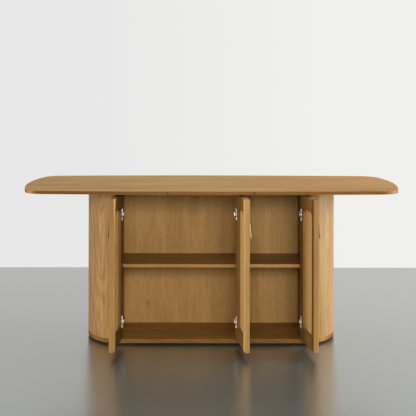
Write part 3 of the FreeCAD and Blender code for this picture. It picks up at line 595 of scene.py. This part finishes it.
def above_and_below(place, facing, rise):
    """The two screws of each of a door's hinges, rise above and below its middle."""
    return [(place + Vector((0, 0, height + step)), facing)
            for height in HINGE_HEIGHTS for step in (-rise, rise)]


for joint in frame["joints"]:
    if not joint["name"].endswith("_door_hinge"):
        continue
    door = joint["child"].removesuffix("_door")
    side = joint["axis"][2]
    swing = -side * math.radians(joint["range_deg"][1])
    along = Vector((side * math.cos(swing), side * math.sin(swing), 0))
    inward = Vector((-math.sin(swing), math.cos(swing), 0))
    cup = Vector(joint["pos_m"]) + along * CUP_FROM_AXIS + inward * FLANGE_FROM_AXIS
    screws(f"{door}_cup_screws", f"{door}_door",
           above_and_below(cup, inward, CUP_SCREW_RISE), CUP_SCREW_RADIUS, NICKEL)
    plate_low, plate_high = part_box(f"{door}_hinge_plates")
    plate_x = plate_high.x if side > 0 else plate_low.x
    plate = Vector((plate_x, (plate_low.y + plate_high.y) / 2, 0))
    screws(f"{door}_plate_screws", "cabinet",
           above_and_below(plate, Vector((side, 0, 0)), PLATE_SCREW_RISE),
           PLATE_SCREW_RADIUS, STEEL)


# ---------------------------------------------------------------- floor, light, camera

FLOOR_COLOUR = from_srgb(80, 90, 94)
FLOOR_ROUGHNESS = 0.26
FLOOR_SIDES = (-7.0, 7.0)
FLOOR_FRONT = -8.0
FLOOR_REAR = 1.95
FLOOR_COAT = {
    "Coat Weight": 1.0,
    "Coat Roughness": FLOOR_ROUGHNESS,
    "Coat IOR": 1.85,
    "Coat Tint": (1.0, 0.98, 0.9, 1.0),
}


def sealed_floor():
    """A plain sealed surface with a barely visible mottle and a broad sheen."""
    g = Finish("sealed_floor")
    for socket, value in FLOOR_COAT.items():
        g.shader.inputs[socket].default_value = value
    cloud = g.noise(g.place, 3.0, 4.0)
    colour = g.mix(cloud, FLOOR_COLOUR, dimmed(FLOOR_COLOUR, 0.97))
    return g.finish(Base_Color=colour, Roughness=FLOOR_ROUGHNESS)


def make_floor():
    """A plain floor that ends behind the table, where the pale backdrop begins."""
    left, right = FLOOR_SIDES
    mesh = bpy.data.meshes.new("floor")
    corners = [(left, FLOOR_FRONT, 0), (right, FLOOR_FRONT, 0),
               (right, FLOOR_REAR, 0), (left, FLOOR_REAR, 0)]
    mesh.from_pydata(corners, [], [(0, 1, 2, 3)])
    floor = bpy.data.objects.new("floor", mesh)
    bpy.context.scene.collection.objects.link(floor)
    mesh.materials.append(sealed_floor())


LAMP_COLOUR = (1.0, 0.975, 0.92)
LAMPS = (
    # name, place, what it looks at, width, height, watts
    ("front", (0.6, -6.2, 1.85), (0.1, 0, 0.45), 2.8, 1.2, 187),
    ("front_left", (-4.2, -3.8, 1.25), (0.1, 0, 0.4), 2.2, 1.5, 88),
    ("front_right", (4.0, -3.8, 1.25), (-0.1, 0, 0.4), 2.2, 1.5, 25),
    ("right", (4.4, 0.3, 1.3), (0.5, 0, 0.4), 2.4, 2.0, 240),
    ("left", (-4.6, -0.6, 1.3), (-0.5, 0, 0.4), 2.4, 2.0, 50),
    ("overhead", (0.6, 0.6, 3.4), (0, 0, 0.7), 3.4, 2.2, 42),
)


def area_light(name, place, target, width, height, watts):
    """A soft rectangular lamp that looks at its target."""
    lamp = bpy.data.lights.new(name, "AREA")
    lamp.shape = "RECTANGLE"
    lamp.size = width
    lamp.size_y = height
    lamp.energy = watts
    lamp.color = LAMP_COLOUR
    item = bpy.data.objects.new(name, lamp)
    item.location = place
    look = Vector(target) - Vector(place)
    item.rotation_euler = look.to_track_quat("-Z", "Y").to_euler()
    bpy.context.scene.collection.objects.link(item)


WORLD_COLOUR = (1.0, 0.97, 0.92, 1)
WORLD_STRENGTH = 0.22
# painted light: the backdrop is a little lighter on the right, across a fade of this width
BACKDROP_LEFT = from_srgb(232, 232, 232)
BACKDROP_RIGHT = from_srgb(240, 240, 238)
BACKDROP_FADE = 0.1


def make_world():
    """Even light on the object; camera and mirror rays see the pale backdrop, painted a little
    lighter on the right as painted light.
    """
    world = bpy.data.worlds.new("world")
    bpy.context.scene.world = world
    world.use_nodes = True
    g = Graph(world.node_tree)
    g.tree.nodes.clear()
    light = g.node("Background", {"Color": WORLD_COLOUR, "Strength": WORLD_STRENGTH})
    direction = g.split(g.node("TexCoord").outputs["Generated"])
    across = g.node("MapRange", {"Value": direction["X"], "From Min": -BACKDROP_FADE,
                                 "From Max": BACKDROP_FADE})
    backdrop = g.mix(across.outputs["Result"], BACKDROP_LEFT, BACKDROP_RIGHT)
    seen = g.node("Background", {"Color": backdrop})
    rays = g.node("LightPath").outputs
    direct = g.math("MAXIMUM", rays["Is Camera Ray"], rays["Is Glossy Ray"])
    choose = g.node("MixShader")
    for socket, value in zip(choose.inputs, (direct, light.outputs[0], seen.outputs[0])):
        g.feed(socket, value)
    g.node("OutputWorld", {"Surface": choose.outputs[0]})


IMAGE_SIZE = 416
FOCAL_PIXELS = 1100.8
CENTRE_COLUMN = 206.23
HORIZON_ROW = 79.72
CAMERA_PLACE = (-0.026, -5.5778, 1.2842)
CAMERA_ROLL = -0.0016
SENSOR_WIDTH = 36
FARTHEST = 100


def make_camera():
    """A level camera at the photograph's place; its lens is shifted down, not tilted."""
    camera = bpy.data.cameras.new("camera")
    camera.sensor_width = SENSOR_WIDTH
    camera.lens = FOCAL_PIXELS * SENSOR_WIDTH / IMAGE_SIZE
    camera.shift_x = (IMAGE_SIZE / 2 - CENTRE_COLUMN) / IMAGE_SIZE
    camera.shift_y = (HORIZON_ROW - IMAGE_SIZE / 2) / IMAGE_SIZE
    camera.clip_end = FARTHEST
    item = bpy.data.objects.new("camera", camera)
    item.location = CAMERA_PLACE
    item.rotation_euler = (math.radians(90), CAMERA_ROLL, 0)
    bpy.context.scene.collection.objects.link(item)
    bpy.context.scene.camera = item


make_floor()
make_world()
for lamp_settings in LAMPS:
    area_light(*lamp_settings)
make_camera()

bpy.context.scene.view_settings.view_transform = "Standard"
